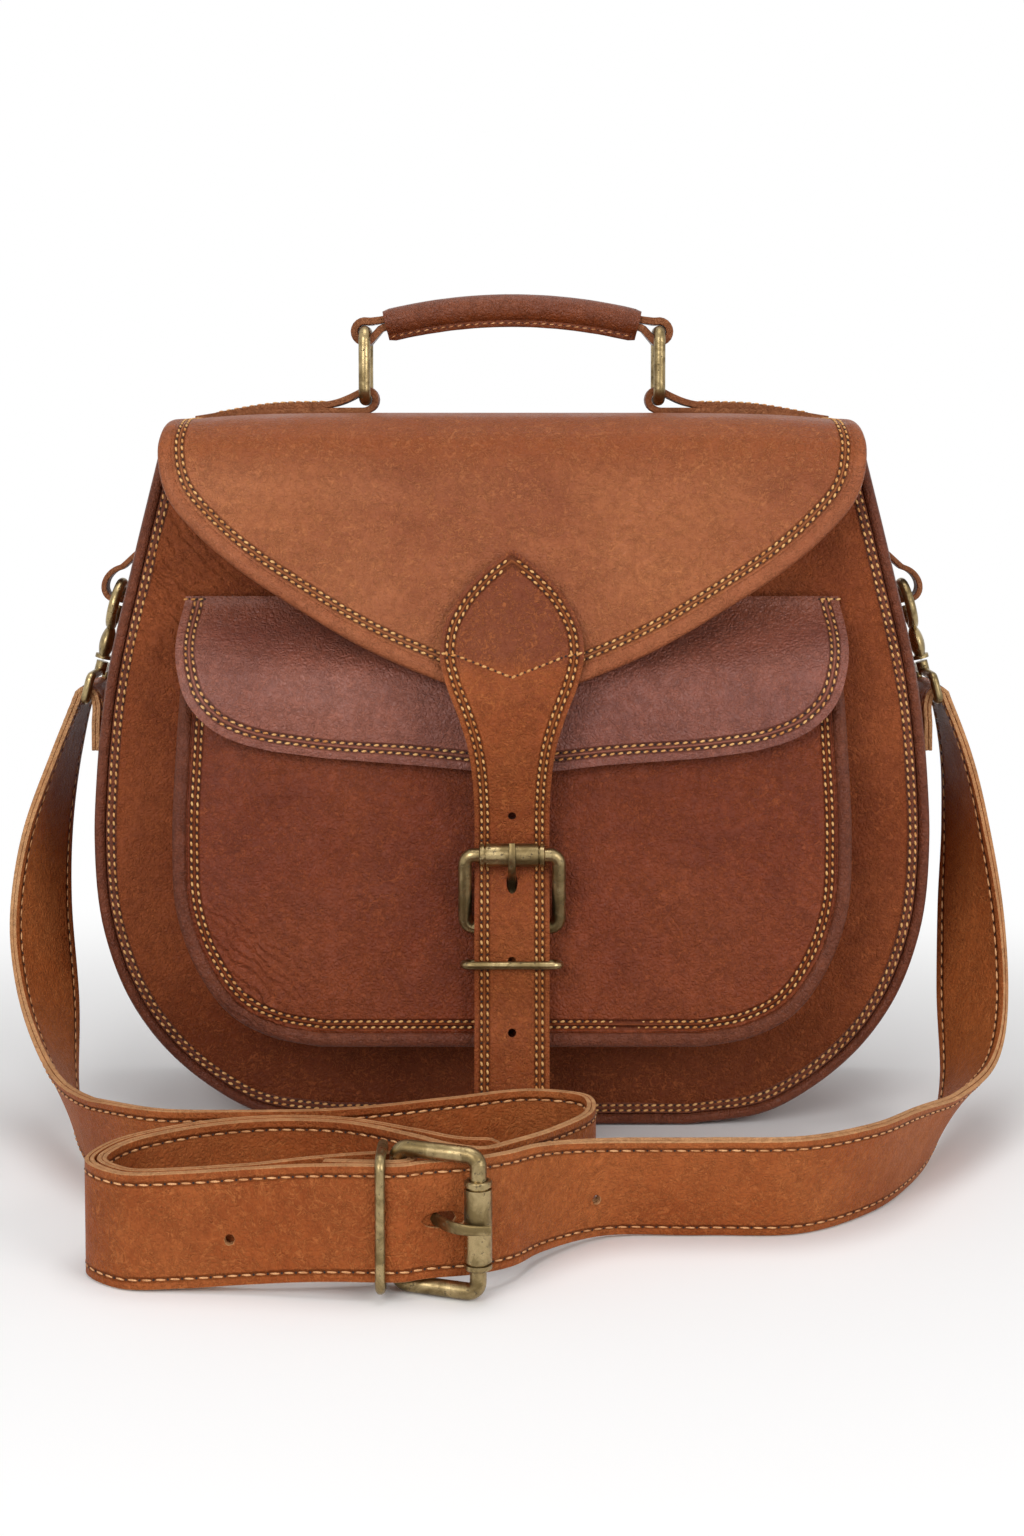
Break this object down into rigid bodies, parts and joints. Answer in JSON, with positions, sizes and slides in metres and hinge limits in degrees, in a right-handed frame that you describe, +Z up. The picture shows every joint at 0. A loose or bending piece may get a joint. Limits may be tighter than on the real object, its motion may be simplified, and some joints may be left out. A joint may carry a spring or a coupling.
{
  "type": "leather satchel",
  "caption": "Saddle-shaped leather satchel with a pointed flap, a buckled closure strap, a front pocket, a top handle and a clip-on shoulder strap laid in front of it.",
  "frame": {"origin": "middle of the bag's flat underside, on the surface that it stands on", "axes": "+Z up, +X to the viewer's right across the bag, the bag's front looks along -Y"},
  "size_m": [0.4008, 0.2891, 0.3336],
  "materials": {
    "body_leather": "smooth waxed",
    "dark_leather": "glossy waxed",
    "flap_leather": "smooth waxed",
    "strap_leather": "matt waxed",
    "antique_brass": "satin, darkened"
  },
  "bodies": {
    "bag": {"back_panel": "body_leather", "front_panel": "body_leather", "gusset": "body_leather", "front_rim": "dark_leather", "back_rim": "dark_leather", "pocket_front": "body_leather", "pocket_gusset": "body_leather", "pocket_rim": "dark_leather", "closure_chape": "flap_leather", "side_tab_left": "body_leather", "side_tab_right": "body_leather"},
    "flap": {"main_flap": "flap_leather", "flap_binding": "flap_leather", "closure_strap": "flap_leather", "handle_tab_left": "flap_leather", "handle_tab_right": "flap_leather"},
    "small_flap": {"pocket_flap": "dark_leather"},
    "left_ring": {"handle_ring_left": "antique_brass"},
    "right_ring": {"handle_ring_right": "antique_brass"},
    "handle": {"handle_core": "body_leather", "handle_sleeve": "body_leather"},
    "closure_frame": {"closure_buckle_frame": "antique_brass"},
    "closure_roll": {"closure_roller": "antique_brass"},
    "closure_tongue": {"closure_prong": "antique_brass"},
    "closure_loop": {"closure_keeper": "antique_brass"},
    "shoulder_strap": {"strap_buckle_end": "strap_leather", "strap_holed_end": "strap_leather", "hook_eye_left": "antique_brass", "hook_eye_right": "antique_brass"},
    "left_hook": {"hook_left": "antique_brass"},
    "right_hook": {"hook_right": "antique_brass"},
    "left_gate": {"hook_gate_left": "antique_brass"},
    "right_gate": {"hook_gate_right": "antique_brass"},
    "strap_frame": {"shoulder_buckle_frame": "antique_brass"},
    "strap_roll": {"shoulder_roller": "antique_brass"},
    "strap_tongue": {"shoulder_prong": "antique_brass"},
    "strap_loop": {"shoulder_keeper": "antique_brass"}
  },
  "joints": [
    {"name": "flap_lift", "type": "hinge", "parent": "bag", "child": "flap", "pos_m": [0, 0.0436, 0.267], "axis": [-1, 0, 0], "range_deg": [0, 140], "deforming": ["closure_strap"]},
    {"name": "pocket_flap_lift", "type": "hinge", "parent": "bag", "child": "small_flap", "pos_m": [0, -0.0452, 0.2125], "axis": [-1, 0, 0], "range_deg": [0, 70]},
    {"name": "handle_swing", "type": "hinge", "parent": "flap", "child": "left_ring", "pos_m": [-0.06, 0, 0.2904], "axis": [0, 1, 0], "range_deg": [-35, 35]},
    {"name": "handle_level", "type": "hinge", "parent": "left_ring", "child": "handle", "pos_m": [-0.06, 0, 0.3181], "axis": [0, 1, 0], "range_deg": [-35, 35]},
    {"name": "right_ring_swing", "type": "hinge", "parent": "flap", "child": "right_ring", "pos_m": [0.06, 0, 0.2904], "axis": [0, 1, 0], "range_deg": [-35, 35]},
    {"name": "closure_buckle_tilt", "type": "hinge", "parent": "bag", "child": "closure_frame", "pos_m": [0, -0.0801, 0.08794], "axis": [1, 0, 0], "range_deg": [0, 45]},
    {"name": "closure_roller_spin", "type": "hinge", "parent": "closure_frame", "child": "closure_roll", "pos_m": [0, -0.0854, 0.11675], "axis": [1, 0, 0], "continuous": true},
    {"name": "closure_prong_lift", "type": "hinge", "parent": "closure_frame", "child": "closure_tongue", "pos_m": [0, -0.0801, 0.08794], "axis": [1, 0, 0], "range_deg": [0, 60]},
    {"name": "closure_keeper_tilt", "type": "hinge", "parent": "bag", "child": "closure_loop", "pos_m": [0, -0.08088, 0.07401], "axis": [1, 0, 0], "range_deg": [-12, 12]},
    {"name": "strap_raise", "type": "hinge", "parent": "bag", "child": "shoulder_strap", "pos_m": [0, 0, 0.2063], "axis": [-1, 0, 0], "range_deg": [0, 75]},
    {"name": "left_hook_swivel", "type": "hinge", "parent": "shoulder_strap", "child": "left_hook", "pos_m": [-0.16333, 0, 0.2063], "axis": [0.2571, 0, 0.9664], "range_deg": [-4.5, 4.5]},
    {"name": "right_hook_swivel", "type": "hinge", "parent": "shoulder_strap", "child": "right_hook", "pos_m": [0.16333, 0, 0.2063], "axis": [-0.2571, 0, 0.9664], "range_deg": [-4.5, 4.5]},
    {"name": "left_gate_open", "type": "hinge", "parent": "left_hook", "child": "left_gate", "pos_m": [-0.16554, 0.00275, 0.19802], "axis": [0.9664, 0, -0.2571], "range_deg": [0, 15], "stiffness_Nm_per_rad": 0.01},
    {"name": "right_gate_open", "type": "hinge", "parent": "right_hook", "child": "right_gate", "pos_m": [0.16554, 0.00275, 0.19802], "axis": [0.9664, 0, 0.2571], "range_deg": [0, 15], "stiffness_Nm_per_rad": 0.01},
    {"name": "strap_buckle_turn", "type": "hinge", "parent": "shoulder_strap", "child": "strap_frame", "pos_m": [-0.037, -0.22662, 0.025], "axis": [0, 0, -1], "range_deg": [-6, 6], "deforming": ["strap_holed_end"]},
    {"name": "strap_roller_spin", "type": "hinge", "parent": "strap_frame", "child": "strap_roll", "pos_m": [-0.0108, -0.23663, 0.025], "axis": [0, 0, 1], "continuous": true},
    {"name": "strap_prong_lift", "type": "hinge", "parent": "strap_frame", "child": "strap_tongue", "pos_m": [-0.037, -0.22662, 0.025], "axis": [0, 0, -1], "range_deg": [0, 60]},
    {"name": "strap_keeper_slide", "type": "slide", "parent": "shoulder_strap", "child": "strap_loop", "axis": [-1, 0, 0], "range_m": [0, 0.008]}
  ],
  "couplings": [
    {"joint": "pocket_flap_lift", "follows": "flap_lift", "ratio": 0.5},
    {"joint": "handle_level", "follows": "handle_swing", "ratio": -1},
    {"joint": "right_ring_swing", "follows": "handle_swing", "ratio": 1}
  ]
}
